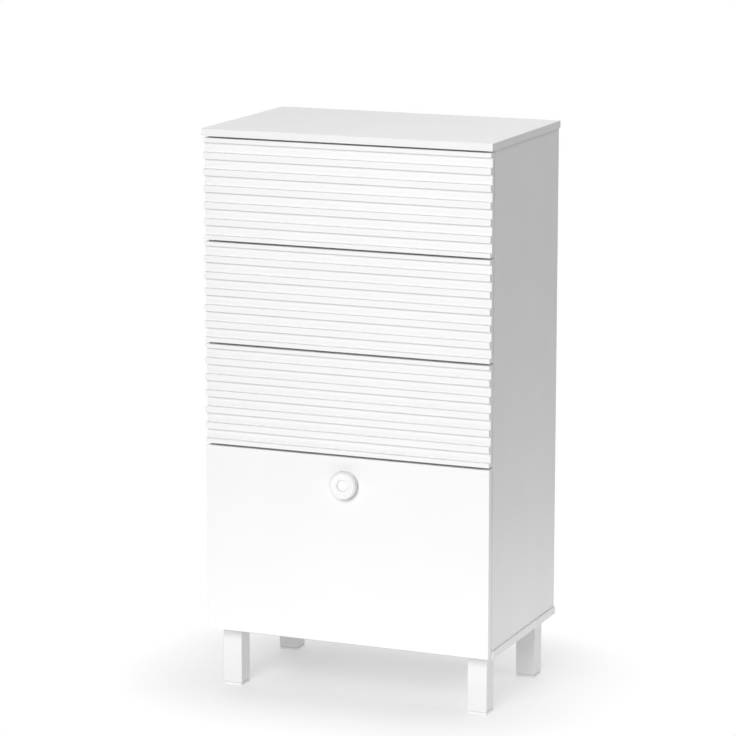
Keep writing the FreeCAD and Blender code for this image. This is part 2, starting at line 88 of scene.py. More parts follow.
# Ribbed drawer fronts
CHANNEL_HEIGHT = 19.2 * MM
CHANNEL_DEPTH = 9.0 * MM
RIB_HEIGHT = 13.1 * MM
CHANNEL_COUNT = 6
CREST_ROUND = 1.1 * MM
CHANNEL_ROUND = 0.9 * MM
EDGE_ROUND = 0.8 * MM
# What the lacquer's rounding takes off each upper edge, which opens the shadow gap above it
UPPER_EDGE_LOSS = {
    "drawer_1_front": 0.0,
    "drawer_2_front": 0.6 * MM,
    "drawer_3_front": 0.9 * MM,
    "laundry_flap": 1.8 * MM,
}

# Knob: radii, and depths behind its front
KNOB_NECK_RADIUS = 15.0 * MM
KNOB_NECK_LENGTH = 5.0 * MM
KNOB_RIM_WIDTH = 6.0 * MM
KNOB_RIM_DEPTH = 7.5 * MM
KNOB_BACK_ROUND = 2.5 * MM
KNOB_DISH_DEPTH = 2.2 * MM
KNOB_DISH_CURVE = 1.5
KNOB_RECESS_MOUTH = 12.2 * MM
KNOB_RECESS_FLOOR = 10.0 * MM
KNOB_RECESS_DEPTH = 4.2 * MM
# Flat middle of the recess as a share of its floor
KNOB_CENTRE_SHARE = 0.1

# Feet
FOOT_HEIGHT = 5.0 * MM
FOOT_NECK_INSET = 2.0 * MM

# Cam pockets in the boards, pilot holes in the top's rear edge
CAM_SHARES = (0.14, 0.82)
CAM_OFFSET = 24.0 * MM
CAM_POCKET_RADIUS = 7.6 * MM
CAM_POCKET_DEPTH = 12.0 * MM
STRAP_HOLE_DEPTH = 25.0 * MM
CUT_OVERRUN = 2.0 * MM

# Runners, as distances from the side panel's inner face
RUNNER_WIDTH = 12.7 * MM
RUNNER_SHEET = 1.2 * MM
RUNNER_BEND = 1.3 * MM
RUNNER_LIP = 0.3 * MM
RUNNER_EASE = 0.15 * MM
RUNNER_MEMBERS = {
    "outer": {"web": 0.0, "tip": 9.5 * MM, "half_height": 22.5 * MM},
    "middle": {"web": 2.2 * MM, "tip": 10.5 * MM, "half_height": 18.1 * MM},
    "inner": {"web": RUNNER_WIDTH, "tip": 4.4 * MM, "half_height": 13.7 * MM},
}
# Punched slots: share of the length, half length and half height
RUNNER_SLOTS = {
    "outer": (),
    "middle": ((0.16, 12.0 * MM, 3.2 * MM), (0.84, 12.0 * MM, 3.2 * MM)),
    "inner": (
        (0.1, 6.5 * MM, 2.4 * MM),
        (0.27, 3.0 * MM, 2.4 * MM),
        (0.44, 6.5 * MM, 2.4 * MM),
        (0.66, 3.0 * MM, 2.4 * MM),
        (0.88, 6.5 * MM, 2.4 * MM),
    ),
}
SLOT_END_SHARE = 0.96
SLOT_OVERRUN = 0.5 * MM
RUNNER_SCREW_SHARES = (0.12, 0.88)
RUNNER_SCREW_HEAD = 3.2 * MM
RUNNER_SCREW_SHANK = 1.75 * MM
SCREW_CLEARANCE = 0.1 * MM
SCREW_DISH = 0.12 * MM

# Cross recesses, and the knob's screw
CROSS_REACH = 1.9 * MM
CROSS_WIDTH = 0.9 * MM
CROSS_DEPTH = 0.8 * MM
CROSS_ROUND = 0.1 * MM
KNOB_SCREW_HEAD_HEIGHT = 2.6 * MM
KNOB_SCREW_SHANK = 2.0 * MM
KNOB_SCREW_ROUND = 1.4 * MM
KNOB_CROSS_DEPTH = 1.5 * MM

# Push-open units, stop blocks and bumpers
PUSH_NOSE_RADIUS = 4.0 * MM
PUSH_NOSE_LENGTH = 6.0 * MM
PUSH_NOSE_ROUND = 1.6 * MM
PUSH_NOSE_FLAT = 1.0 * MM
PUSH_UNIT_HEIGHT = 30.0 * MM
PUSH_UNIT_WIDTH = 11.7 * MM
PUSH_CORNER = 3.0 * MM
PUSH_EASE = 1.0 * MM
STOP_WIDTH = 30.0 * MM
BUMPER_RADIUS = 5.0 * MM

# Camera: place in metres, angles in degrees, lens and sensor in millimetres
CAMERA_PLACE = (2.464755, -5.991600, 1.935029)
CAMERA_YAW = 22.584
CAMERA_PITCH = 11.3
CAMERA_LENS = 163.73
CAMERA_SENSOR = 36.0

# Studio: sizes in metres, light as radiance
FLOOR_RADIUS = 1.25
FLOOR_THICKNESS = 0.02
FLOOR_GAP = 0.2 * MM
# The floor carries a painted shadow: it is grey within these half sizes of a centre, and fades to white
# over a distance
FLOOR_SHADE_CENTRE = (-0.02, 0.04, 0.0)
FLOOR_SHADE_HALF = (0.15, 0.08, 1.0)
FLOOR_FADE = 0.36
FLOOR_COLOUR = "#D4D4D4"
FLOOR_GLOW = 0.17
# Light of the surroundings, and of their brighter part behind the cabinet
SKY_LIGHT = 0.19
BACKDROP_DIRECTION = (-0.37, 0.91, 0.19)
BACKDROP_EDGE = 0.55
BACKDROP_LIGHT = 1.75
# Softboxes: place, aim, length of a side and watts
SOFTBOXES = {
    "front_softbox": ((0.3, -4.8, 2.3), (0.0, 0.0, 0.55), 2.5, 190.0),
    "upper_front_softbox": ((0.3, -1.9, 1.55), (0.1, 0.0, 0.95), 0.8, 5.4),
    "side_softbox": ((3.4, 0.4, 1.6), (0.3, 0.0, 0.9), 1.6, 16.5),
    "upper_side_softbox": ((1.3, 0.5, 3.0), (0.3, 0.0, 0.9), 0.6, 9.3),
    "low_side_reflector": ((0.82, -0.02, 0.12), (0.3, 0.0, 0.14), 0.4, 0.31),
}


# Shapes

def rectangle(low, high):
    """The four corners between two opposite ones, anticlockwise from the low one."""
    return [(low[0], low[1]), (high[0], low[1]), (high[0], high[1]), (low[0], high[1])]


def rounded_outline(corners, radius, steps=CORNER_STEPS):
    """A closed outline whose corners are rounded, as points and outward normals.

    The corners run anticlockwise. Each gives way to an arc tangent to its two edges. The arc starts
    radius * tan(turn / 2) short of the corner and turns by the corner's angle in equal steps, about a centre
    that lies inside the outline at a convex corner and outside it at a hollow one.
    """
    corners = np.asarray(corners, float)
    radius = np.broadcast_to(np.asarray(radius, float), len(corners))
    before = corners - np.roll(corners, 1, axis=0)
    after = np.roll(before, -1, axis=0)
    before = before / np.linalg.norm(before, axis=1, keepdims=True)
    after = after / np.linalg.norm(after, axis=1, keepdims=True)
    cross = before[:, 0] * after[:, 1] - before[:, 1] * after[:, 0]
    turn = np.arctan2(cross, (before * after).sum(axis=1))
    bend = np.sign(turn) * radius
    start = corners - before * (radius * np.tan(np.abs(turn) / 2))[:, None]
    outward = np.stack([before[:, 1], -before[:, 0]], axis=1)
    centre = start - outward * bend[:, None]
    angle = turn[:, None] * np.linspace(0, 1, steps + 1)
    normals = np.stack(
        [
            np.cos(angle) * outward[:, :1] - np.sin(angle) * outward[:, 1:],
            np.sin(angle) * outward[:, :1] + np.cos(angle) * outward[:, 1:],
        ],
        axis=-1,
    )
    points = centre[:, None] + normals * bend[:, None, None]
    return points.reshape(-1, 2), normals.reshape(-1, 2)


def round_outline(radius, count):
    """A circle about the origin, as points and outward normals: radius times cosine and sine of the angle."""
    angle = np.linspace(0, 2 * math.pi, count, endpoint=False)
    normals = np.stack([np.cos(angle), np.sin(angle)], axis=1)
    return normals * radius, normals


def carried(outline, insets, levels):
    """A grid of rows: the outline at each level, drawn in along its normals by that row's inset."""
    points, normals = outline
    rows = points[None] - normals[None] * np.asarray(insets)[:, None, None]
    heights = np.broadcast_to(np.asarray(levels)[:, None, None], rows.shape[:2] + (1,))
    return np.concatenate([rows, heights], axis=2)


def slab(outline, low, high, ease):
    """The outline carried from low to high, with a quarter circle of radius ease along both rims.

    At the angle a from 0 to 90 degrees the row is drawn in by ease * (1 - sin a), and lies
    ease * (1 - cos a) from the end face.
    """
    angle = np.linspace(0, math.pi / 2, EASE_STEPS + 1)
    inset = ease * (1 - np.sin(angle))
    rise = ease * (1 - np.cos(angle))
    return carried(
        outline, np.concatenate([inset, inset[::-1]]), np.concatenate([low + rise, high - rise[::-1]])
    )


def turned(profile, count):
    """A lathe's grid: each profile point (radius, level) is swept round the axis."""
    radii, levels = np.asarray(profile, float).T
    unit, _ = round_outline(1.0, count)
    rows = unit[None] * radii[:, None, None]
    heights = np.broadcast_to(levels[:, None, None], rows.shape[:2] + (1,))
    return np.concatenate([rows, heights], axis=2)


def arc(centre, radius, start, end, steps=ARC_STEPS):
    """Points on a circle from one angle to another, in degrees: centre + radius * (cos a, sin a)."""
    angle = np.radians(np.linspace(start, end, steps + 1))
    return np.asarray(centre) + radius * np.stack([np.cos(angle), np.sin(angle)], axis=1)


def along(axis, grid, place=(0, 0, 0)):
    """A grid of (u, v, w) with w laid along an axis: x, y, z change places in turn, so it isn't mirrored."""
    moved = np.empty_like(grid)
    moved[..., AXIS_ORDER[axis]] = grid
    return moved + np.asarray(place)


def skin(grid, first):
    """Vertices and faces over a grid: quads round every row, and a flat face on the first and the last.

    The faces count the grid's vertices from first on, row by row.
    """
    rows, around = grid.shape[:2]
    index = first + np.arange(rows * around).reshape(rows, around)
    following = np.roll(index, -1, axis=1)
    quads = np.stack([index[:-1], following[:-1], following[1:], index[1:]], axis=-1)
    ends = [index[0, ::-1].tolist(), index[-1].tolist()]
    return grid.reshape(-1, 3), quads.reshape(-1, 4).tolist() + ends


def mesh_of(name, grids):
    """One mesh from the grids of several closed shapes."""
    vertices, faces, count = [], [], 0
    for grid in grids:
        points, polygons = skin(grid, count)
        vertices.append(points)
        faces += polygons
        count += len(points)
    mesh = bpy.data.meshes.new(name)
    mesh.from_pydata(np.concatenate(vertices).tolist(), [], faces)
    mesh.update()
    return mesh


def cut(piece, grids):
    """Takes closed shapes out of a piece with a Boolean, and keeps the result as its mesh."""
    cutter = bpy.data.objects.new("cutter", mesh_of("cutter", grids))
    bpy.context.scene.collection.objects.link(cutter)
    boolean = piece.modifiers.new("cut", "BOOLEAN")
    boolean.object = cutter
    boolean.operation = "DIFFERENCE"
    evaluated = piece.evaluated_get(bpy.context.evaluated_depsgraph_get())
    result = bpy.data.meshes.new_from_object(evaluated)
    piece.modifiers.clear()
    piece.data = result
    bpy.data.objects.remove(cutter)


def stand_for(node, grids, cutters=(), finish=None):
    """A finished piece in the place of a node: it rides on the node's body and has the node's finish."""
    piece = bpy.data.objects.new("finished_" + node, mesh_of("finished_" + node, grids))
    bpy.context.scene.collection.objects.link(piece)
    if cutters:
        cut(piece, cutters)
    piece.data.shade_smooth()
    piece.data.set_sharp_from_angle(angle=math.radians(SMOOTH_ANGLE))
    weighted = piece.modifiers.new("flat faces stay flat", "WEIGHTED_NORMAL")
    weighted.keep_sharp = True
    slot = slot_of_node[node]
    piece.data.materials.clear()
    piece.data.materials.append(finish or finishes[slot])
    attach(piece, body_of_node[node])
    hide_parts(node)


def board_grid(low, high, ease):
    """A board between two corners: a rectangle with small round corners, carried through its thickness."""
    low, high = np.asarray(low), np.asarray(high)
    axis = "xyz"[int(np.argmin(high - low))]
    u, v, w = AXIS_ORDER[axis]
    corners = rectangle(low[[u, v]], high[[u, v]])
    return along(axis, slab(rounded_outline(corners, ease * CORNER_SHARE), low[w], high[w], ease))


def peg(axis, centre, radius, low, high):
    """A plain round cutter along an axis."""
    return along(axis, carried(round_outline(radius, HOLE_FACETS), (0, 0), (low, high)), centre)


# Materials

def linear(code):
    """A hex colour as linear RGBA.

    A channel c is c / 12.92 up to 0.04045, and ((c + 0.055) / 1.055) ** 2.4 above.
    """
    channel = np.array([int(code[i:i + 2], 16) for i in (1, 3, 5)]) / 255
    channel = np.where(channel <= 0.04045, channel / 12.92, ((channel + 0.055) / 1.055) ** 2.4)
    return (*channel.tolist(), 1.0)


def per_metre(millimetres):
    """A texture's scale for a pattern of that size."""
    return 1 / (millimetres * MM)


def add(tree, kind, inputs, **settings):
    """Adds a node: settings are its own properties, inputs are values or the sockets that feed it."""
    node = tree.nodes.new("ShaderNode" + kind)
    for name, value in settings.items():
        setattr(node, name, value)
    for socket, value in inputs.items():
        if isinstance(value, bpy.types.NodeSocket):
            tree.links.new(value, node.inputs[socket])
        else:
            node.inputs[socket].default_value = value
    return node


def blank(name):
    """An empty material, its node tree and its object coordinates."""
    material = bpy.data.materials.new(name)
    material.use_nodes = True
    tree = material.node_tree
    tree.nodes.clear()
    return material, tree, add(tree, "TexCoord", {}).outputs


def white_lacquered_mdf():
    # Milled MDF under sprayed satin lacquer: an even white with a soft sheen, a faint orange peel in the
    # highlights, and broad drifts where the spray passes overlapped. Faces that turn upward, such as the
    # ribs' flanks and the fronts' upper edges, are painted a little greyer, as painted shade.
    material, tree, place = blank("white_satin_lacquer_sprayed_on_mdf")
    drift = add(tree, "TexNoise", {"Vector": place["Object"], "Scale": per_metre(140), "Detail": 2.0})
    peel = add(tree, "TexNoise", {"Vector": place["Object"], "Scale": per_metre(2.6), "Detail": 1.0})
    face = add(
        tree, "Mix", {0: drift.outputs["Fac"], 6: linear("#EBEBEB"), 7: linear("#EEEEEE")}, data_type="RGBA"
    )
    # Painted shade: the more a face turns upward, the more its colour is mixed towards a darker grey
    axes = add(tree, "SeparateXYZ", {"Vector": place["Normal"]})
    upward_faces_painted_shade = add(tree, "MapRange", {"Value": axes.outputs["Z"], "From Min": 0.2, "From Max": 0.8})
    tone = add(
        tree, "Mix", {0: upward_faces_painted_shade.outputs["Result"], 6: face.outputs[2], 7: linear("#E2E2E2")}, data_type="RGBA"
    )
    rough = add(tree, "MapRange", {"Value": drift.outputs["Fac"], "To Min": 0.27, "To Max": 0.37})
    bump = add(tree, "Bump", {"Height": peel.outputs["Fac"], "Strength": 0.35, "Distance": 0.012 * MM})
    shader = add(
        tree,
        "BsdfPrincipled",
        {
            "Base Color": tone.outputs[2],
            "Roughness": rough.outputs["Result"],
            "IOR": 1.5,
            "Normal": bump.outputs["Normal"],
        },
    )
    add(tree, "OutputMaterial", {"Surface": shader.outputs["BSDF"]})
    return material


def white_melamine_board():
    # Chipboard faced with white melamine paper, pressed between pearl-textured plates: a duller white than
    # lacquer, with a fine pebble that breaks up the sheen. The real pebble is under 1 mm, and is drawn
    # coarser to show.
    material, tree, place = blank("white_melamine_pressed_on_chipboard")
    drift = add(tree, "TexNoise", {"Vector": place["Object"], "Scale": per_metre(90), "Detail": 3.0})
    pebble = add(
        tree, "TexVoronoi", {"Vector": place["Object"], "Scale": per_metre(2.2)}, feature="SMOOTH_F1"
    )
    tone = add(
        tree, "Mix", {0: drift.outputs["Fac"], 6: linear("#E6E6E6"), 7: linear("#ECECEC")}, data_type="RGBA"
    )
    rough = add(tree, "MapRange", {"Value": pebble.outputs["Distance"], "To Min": 0.36, "To Max": 0.52})
    bump = add(tree, "Bump", {"Height": pebble.outputs["Distance"], "Strength": 0.4, "Distance": 0.02 * MM})
    shader = add(
        tree,
        "BsdfPrincipled",
        {
            "Base Color": tone.outputs[2],
            "Roughness": rough.outputs["Result"],
            "IOR": 1.5,
            "Normal": bump.outputs["Normal"],
        },
    )
    add(tree, "OutputMaterial", {"Surface": shader.outputs["BSDF"]})
    return material


def white_box_board():
    # Thin chipboard wrapped in white foil, as drawer boxes are: slightly creamy, with the faint lengthwise
    # ripple of the rolled-on foil.
    material, tree, place = blank("white_foil_wrapped_chipboard")
    foil_place = add(tree, "Mapping", {"Vector": place["Object"], "Scale": (1.0, 0.06, 1.0)})
    ripple = add(tree, "TexNoise", {"Vector": foil_place.outputs[0], "Scale": per_metre(4.0), "Detail": 3.0})
    drift = add(tree, "TexNoise", {"Vector": place["Object"], "Scale": per_metre(70), "Detail": 2.0})
    tone = add(
        tree, "Mix", {0: drift.outputs["Fac"], 6: linear("#E9E8E4"), 7: linear("#F1F0ED")}, data_type="RGBA"
    )
    rough = add(tree, "MapRange", {"Value": ripple.outputs["Fac"], "To Min": 0.42, "To Max": 0.58})
    bump = add(tree, "Bump", {"Height": ripple.outputs["Fac"], "Strength": 0.3, "Distance": 0.03 * MM})
    shader = add(
        tree,
        "BsdfPrincipled",
        {
            "Base Color": tone.outputs[2],
            "Roughness": rough.outputs["Result"],
            "IOR": 1.48,
            "Normal": bump.outputs["Normal"],
        },
    )
    add(tree, "OutputMaterial", {"Surface": shader.outputs["BSDF"]})
    return material


def white_faced_hardboard():
    # Wet-pressed hardboard: the smooth face, turned to the inside, is painted white. The other face is bare
    # brown fibre with the print of the wire screen that it was pressed on. The real screen has about 1.5 mm
    # between its wires, and is drawn at twice that to show.
    material, tree, place = blank("hardboard_painted_white_on_one_face")
    axes = add(tree, "SeparateXYZ", {"Vector": place["Normal"]})
    rear = add(tree, "Math", {0: axes.outputs["Y"], 1: 0.5}, operation="GREATER_THAN")
    under = add(tree, "Math", {0: axes.outputs["Z"], 1: -0.5}, operation="LESS_THAN")
    bare = add(tree, "Math", {0: rear.outputs[0], 1: under.outputs[0]}, operation="MAXIMUM")
    fibre_place = add(tree, "Mapping", {"Vector": place["Object"], "Scale": (1.0, 1.0, 0.35)})
    fibre = add(tree, "TexNoise", {"Vector": fibre_place.outputs[0], "Scale": per_metre(3.0), "Detail": 6.0})
    blotch = add(tree, "TexNoise", {"Vector": place["Object"], "Scale": per_metre(60), "Detail": 3.0})
    screen = add(
        tree, "TexVoronoi", {"Vector": place["Object"], "Scale": per_metre(3.2), "Randomness": 0.12}
    )
    brown = add(
        tree, "Mix", {0: fibre.outputs["Fac"], 6: linear("#5E4128"), 7: linear("#A98256")}, data_type="RGBA"
    )
    aged = add(
        tree, "Mix", {0: blotch.outputs["Fac"], 6: brown.outputs[2], 7: linear("#8A6843")}, data_type="RGBA"
    )
    paint = add(
        tree, "Mix", {0: blotch.outputs["Fac"], 6: linear("#EAE9E6"), 7: linear("#F2F2F0")}, data_type="RGBA"
    )
    tone = add(
        tree, "Mix", {0: bare.outputs[0], 6: paint.outputs[2], 7: aged.outputs[2]}, data_type="RGBA"
    )
    rough = add(tree, "MapRange", {"Value": bare.outputs[0], "To Min": 0.42, "To Max": 0.82})
    relief = add(tree, "Math", {0: screen.outputs["Distance"], 1: bare.outputs[0]}, operation="MULTIPLY")
    bump = add(tree, "Bump", {"Height": relief.outputs[0], "Strength": 0.6, "Distance": 0.25 * MM})
    shader = add(
        tree,
        "BsdfPrincipled",
        {
            "Base Color": tone.outputs[2],
            "Roughness": rough.outputs["Result"],
            "IOR": 1.48,
            "Normal": bump.outputs["Normal"],
        },
    )
    add(tree, "OutputMaterial", {"Surface": shader.outputs["BSDF"]})
    return material


def white_lacquered_wood():
    # Planed beech under white lacquer: the fine upright grain still shows as a slight ripple. Real pores are
    # a few tenths of a millimetre wide, and are drawn coarser to show.
    material, tree, place = blank("white_lacquer_on_beech")
    grain_place = add(tree, "Mapping", {"Vector": place["Object"], "Scale": (1.0, 1.0, 0.05)})
    grain = add(tree, "TexNoise", {"Vector": grain_place.outputs[0], "Scale": per_metre(2.0), "Detail": 4.0})
    drift = add(tree, "TexNoise", {"Vector": place["Object"], "Scale": per_metre(40), "Detail": 2.0})
    tone = add(
        tree, "Mix", {0: drift.outputs["Fac"], 6: linear("#DFDFDF"), 7: linear("#E5E5E5")}, data_type="RGBA"
    )
    rough = add(tree, "MapRange", {"Value": grain.outputs["Fac"], "To Min": 0.26, "To Max": 0.4})
    bump = add(tree, "Bump", {"Height": grain.outputs["Fac"], "Strength": 0.35, "Distance": 0.03 * MM})
    shader = add(
        tree,
        "BsdfPrincipled",
        {
            "Base Color": tone.outputs[2],
            "Roughness": rough.outputs["Result"],
            "IOR": 1.5,
            "Normal": bump.outputs["Normal"],
        },
    )
    add(tree, "OutputMaterial", {"Surface": shader.outputs["BSDF"]})
    return material


def turned_knob_lacquer():
    # Beech turned across the grain under white lacquer: the smooth face is as white as the fronts. Round the
    # rim and in the recess, where the surface turns away from the front, its colour is painted greyer as
    # painted shade, and its lacquer is duller. The grain is drawn several times as coarse as real pores,
    # to show.
    material, tree, place = blank("white_lacquer_on_turned_beech")
    axes = add(tree, "SeparateXYZ", {"Vector": place["Normal"]})
    facing = add(tree, "Math", {0: axes.outputs["Y"]}, operation="ABSOLUTE")
    # Painted shade and duller lacquer, growing as the surface turns away from the front
    rim_painted_shade_and_dullness = add(tree, "MapRange", {"Value": facing.outputs[0], "From Min": 0.96, "From Max": 0.6})
    grain = add(tree, "TexNoise", {"Vector": place["Object"], "Scale": per_metre(1.4), "Detail": 4.0})
    # The grey that the rim and the recess are painted with, as painted shade, carrying the grain's ripple
    rim = add(
        tree, "Mix", {0: grain.outputs["Fac"], 6: linear("#E0E0E0"), 7: linear("#EAEAEA")}, data_type="RGBA"
    )
    tone = add(
        tree,
        "Mix",
        {0: rim_painted_shade_and_dullness.outputs["Result"], 6: linear("#EDEDED"), 7: rim.outputs[2]},
        data_type="RGBA",
    )
    rough = add(tree, "MapRange", {"Value": rim_painted_shade_and_dullness.outputs["Result"], "To Min": 0.3, "To Max": 0.48})
    bump = add(tree, "Bump", {"Height": grain.outputs["Fac"], "Strength": 0.3, "Distance": 0.02 * MM})
    shader = add(
        tree,
        "BsdfPrincipled",
        {
            "Base Color": tone.outputs[2],
            "Roughness": rough.outputs["Result"],
            "IOR": 1.5,
            "Normal": bump.outputs["Normal"],
        },
    )
    add(tree, "OutputMaterial", {"Surface": shader.outputs["BSDF"]})
    return material


def white_foot_plastic():
    # Moulded polyethylene: milky and waxy, with the texture of a spark-eroded mould and larger scuffs. The
    # real texture is about 0.1 mm, and is drawn coarser to show.
    material, tree, place = blank("white_polyethylene_moulded")
    spark = add(tree, "TexNoise", {"Vector": place["Object"], "Scale": per_metre(0.8), "Detail": 3.0})
    scuff = add(tree, "TexNoise", {"Vector": place["Object"], "Scale": per_metre(6.0), "Detail": 4.0})
    tone = add(
        tree, "Mix", {0: scuff.outputs["Fac"], 6: linear("#E3E3E1"), 7: linear("#F0F0EF")}, data_type="RGBA"
    )
    bump = add(tree, "Bump", {"Height": spark.outputs["Fac"], "Strength": 0.4, "Distance": 0.03 * MM})
    shader = add(
        tree,
        "BsdfPrincipled",
        {
            "Base Color": tone.outputs[2],
            "Roughness": 0.5,
            "IOR": 1.51,
            "Subsurface Weight": 0.15,
            "Subsurface Radius": (1.0, 1.0, 1.0),
            "Subsurface Scale": 1.0 * MM,
            "Normal": bump.outputs["Normal"],
        },
    )
    add(tree, "OutputMaterial", {"Surface": shader.outputs["BSDF"]})
    return material


def zinc_plated_steel():
    # Cold-rolled strip with bright zinc plating: bluish grey, streaked along the rolling direction, with
    # faint straw and blue clouds from the passivation. Real rolling lines are finer, and are drawn 0.7 mm
    # wide to show.
    material, tree, place = blank("zinc_plated_rolled_steel")
    strip_place = add(tree, "Mapping", {"Vector": place["Object"], "Scale": (1.0, 0.02, 1.0)})
    streak = add(tree, "TexNoise", {"Vector": strip_place.outputs[0], "Scale": per_metre(0.7), "Detail": 3.0})
    cloud = add(tree, "TexNoise", {"Vector": place["Object"], "Scale": per_metre(22), "Detail": 3.0})
    tone = add(
        tree, "Mix", {0: cloud.outputs["Fac"], 6: linear("#AEB7C2"), 7: linear("#C9C6B8")}, data_type="RGBA"
    )
    rough = add(tree, "MapRange", {"Value": streak.outputs["Fac"], "To Min": 0.2, "To Max": 0.42})
    bump = add(tree, "Bump", {"Height": streak.outputs["Fac"], "Strength": 0.25, "Distance": 0.02 * MM})
    shader = add(
        tree,
        "BsdfPrincipled",
        {
            "Base Color": tone.outputs[2],
            "Metallic": 1.0,
            "Roughness": rough.outputs["Result"],
            "Normal": bump.outputs["Normal"],
        },
    )
    add(tree, "OutputMaterial", {"Surface": shader.outputs["BSDF"]})
    return material


def bearing_steel():
    # Hardened and polished balls under a film of grease: bright, with slightly dulled patches.
    material, tree, place = blank("polished_bearing_steel")
    grease = add(tree, "TexNoise", {"Vector": place["Object"], "Scale": per_metre(1.6), "Detail": 2.0})
    tone = add(
        tree, "Mix", {0: grease.outputs["Fac"], 6: linear("#B9BABB"), 7: linear("#D7D8DA")}, data_type="RGBA"
    )
    rough = add(tree, "MapRange", {"Value": grease.outputs["Fac"], "To Min": 0.26, "To Max": 0.08})
    shader = add(
        tree,
        "BsdfPrincipled",
        {"Base Color": tone.outputs[2], "Metallic": 1.0, "Roughness": rough.outputs["Result"]},
    )
    add(tree, "OutputMaterial", {"Surface": shader.outputs["BSDF"]})
    return material


def nickel_plated_steel():
    # Drawn steel with bright nickel plating: a warm silver with fine draw lines along the hinge, which are
    # drawn coarser than real ones, to show.
    material, tree, place = blank("nickel_plated_steel")
    draw_place = add(tree, "Mapping", {"Vector": place["Object"], "Scale": (0.02, 1.0, 1.0)})
    lines = add(tree, "TexNoise", {"Vector": draw_place.outputs[0], "Scale": per_metre(0.5), "Detail": 3.0})
    cloud = add(tree, "TexNoise", {"Vector": place["Object"], "Scale": per_metre(30), "Detail": 2.0})
    tone = add(
        tree, "Mix", {0: cloud.outputs["Fac"], 6: linear("#BDB5A6"), 7: linear("#D3CCC0")}, data_type="RGBA"
    )
    rough = add(tree, "MapRange", {"Value": lines.outputs["Fac"], "To Min": 0.14, "To Max": 0.32})
    shader = add(
        tree,
        "BsdfPrincipled",
        {"Base Color": tone.outputs[2], "Metallic": 1.0, "Roughness": rough.outputs["Result"]},
    )
    add(tree, "OutputMaterial", {"Surface": shader.outputs["BSDF"]})
    return material


def zinc_die_casting():
    # Bare die-cast zinc: dull grey with the mottled flow marks and fine grit of the die. The grit is drawn
    # coarser than the real one of about 0.1 mm, to show.
    material, tree, place = blank("zinc_die_casting")
    flow = add(tree, "TexNoise", {"Vector": place["Object"], "Scale": per_metre(4.0), "Detail": 5.0})
    grit = add(tree, "TexNoise", {"Vector": place["Object"], "Scale": per_metre(0.4), "Detail": 2.0})
    tone = add(
        tree, "Mix", {0: flow.outputs["Fac"], 6: linear("#85888B"), 7: linear("#B4B6B8")}, data_type="RGBA"
    )
    rough = add(tree, "MapRange", {"Value": flow.outputs["Fac"], "To Min": 0.42, "To Max": 0.62})
    bump = add(tree, "Bump", {"Height": grit.outputs["Fac"], "Strength": 0.5, "Distance": 0.05 * MM})
    shader = add(
        tree,
        "BsdfPrincipled",
        {
            "Base Color": tone.outputs[2],
            "Metallic": 0.9,
            "Roughness": rough.outputs["Result"],
            "Normal": bump.outputs["Normal"],
        },
    )
    add(tree, "OutputMaterial", {"Surface": shader.outputs["BSDF"]})
    return material


def beech_dowel():
    # Planed beech: pale pinkish brown with short dark flecks.
    material, tree, place = blank("bare_beech")
    fleck_place = add(tree, "Mapping", {"Vector": place["Object"], "Scale": (1.0, 0.2, 1.0)})
    fleck = add(tree, "TexNoise", {"Vector": fleck_place.outputs[0], "Scale": per_metre(1.2), "Detail": 5.0})
    tone = add(
        tree, "Mix", {0: fleck.outputs["Fac"], 6: linear("#A67A50"), 7: linear("#DDB98C")}, data_type="RGBA"
    )
    rough = add(tree, "MapRange", {"Value": fleck.outputs["Fac"], "To Min": 0.5, "To Max": 0.7})
    shader = add(
        tree, "BsdfPrincipled", {"Base Color": tone.outputs[2], "Roughness": rough.outputs["Result"]}
    )
    add(tree, "OutputMaterial", {"Surface": shader.outputs["BSDF"]})
    return material


def grey_nylon():
    # Injection-moulded nylon: mid grey, slightly waxy, with the even grain of a spark-eroded mould, which is
    # drawn coarser than the real 0.1 mm, to show.
    material, tree, place = blank("grey_nylon_moulded")
    spark = add(tree, "TexNoise", {"Vector": place["Object"], "Scale": per_metre(0.7), "Detail": 3.0})
    drift = add(tree, "TexNoise", {"Vector": place["Object"], "Scale": per_metre(12), "Detail": 2.0})
    tone = add(
        tree, "Mix", {0: drift.outputs["Fac"], 6: linear("#8B8F93"), 7: linear("#A2A6A9")}, data_type="RGBA"
    )
    bump = add(tree, "Bump", {"Height": spark.outputs["Fac"], "Strength": 0.5, "Distance": 0.04 * MM})
    shader = add(
        tree,
        "BsdfPrincipled",
        {"Base Color": tone.outputs[2], "Roughness": 0.48, "IOR": 1.53, "Normal": bump.outputs["Normal"]},
    )
    add(tree, "OutputMaterial", {"Surface": shader.outputs["BSDF"]})
    return material


def clear_silicone():
    # Cast silicone dots: clear and soft, with a faintly hazy skin.
    material, tree, place = blank("clear_silicone_cast")
    haze = add(tree, "TexNoise", {"Vector": place["Object"], "Scale": per_metre(1.5), "Detail": 2.0})
    rough = add(tree, "MapRange", {"Value": haze.outputs["Fac"], "To Min": 0.16, "To Max": 0.4})
    shader = add(
        tree,
        "BsdfPrincipled",
        {
            "Base Color": linear("#EDEFF0"),
            "Roughness": rough.outputs["Result"],
            "IOR": 1.41,
            "Transmission Weight": 0.8,
        },
    )
    add(tree, "OutputMaterial", {"Surface": shader.outputs["BSDF"]})
    return material


finishes = {
    make.__name__: make()
    for make in (
        white_melamine_board,
        white_lacquered_mdf,
        white_box_board,
        white_faced_hardboard,
        white_lacquered_wood,
        white_foot_plastic,
        zinc_plated_steel,
        bearing_steel,
        nickel_plated_steel,
        zinc_die_casting,
        beech_dowel,
        grey_nylon,
        clear_silicone,
    )
}
for node_name, cad_object in frame["nodes"].items():
    cad_object.data.materials.clear()
    cad_object.data.materials.append(finishes[slot_of_node[node_name]])


# Carcass

side_low, side_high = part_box("right_side_panel")
divider_low, divider_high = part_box("divider_shelf")
top_low, top_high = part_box("top_panel")
cam_rows = [side_low.y + share * (side_high.y - side_low.y) for share in CAM_SHARES]


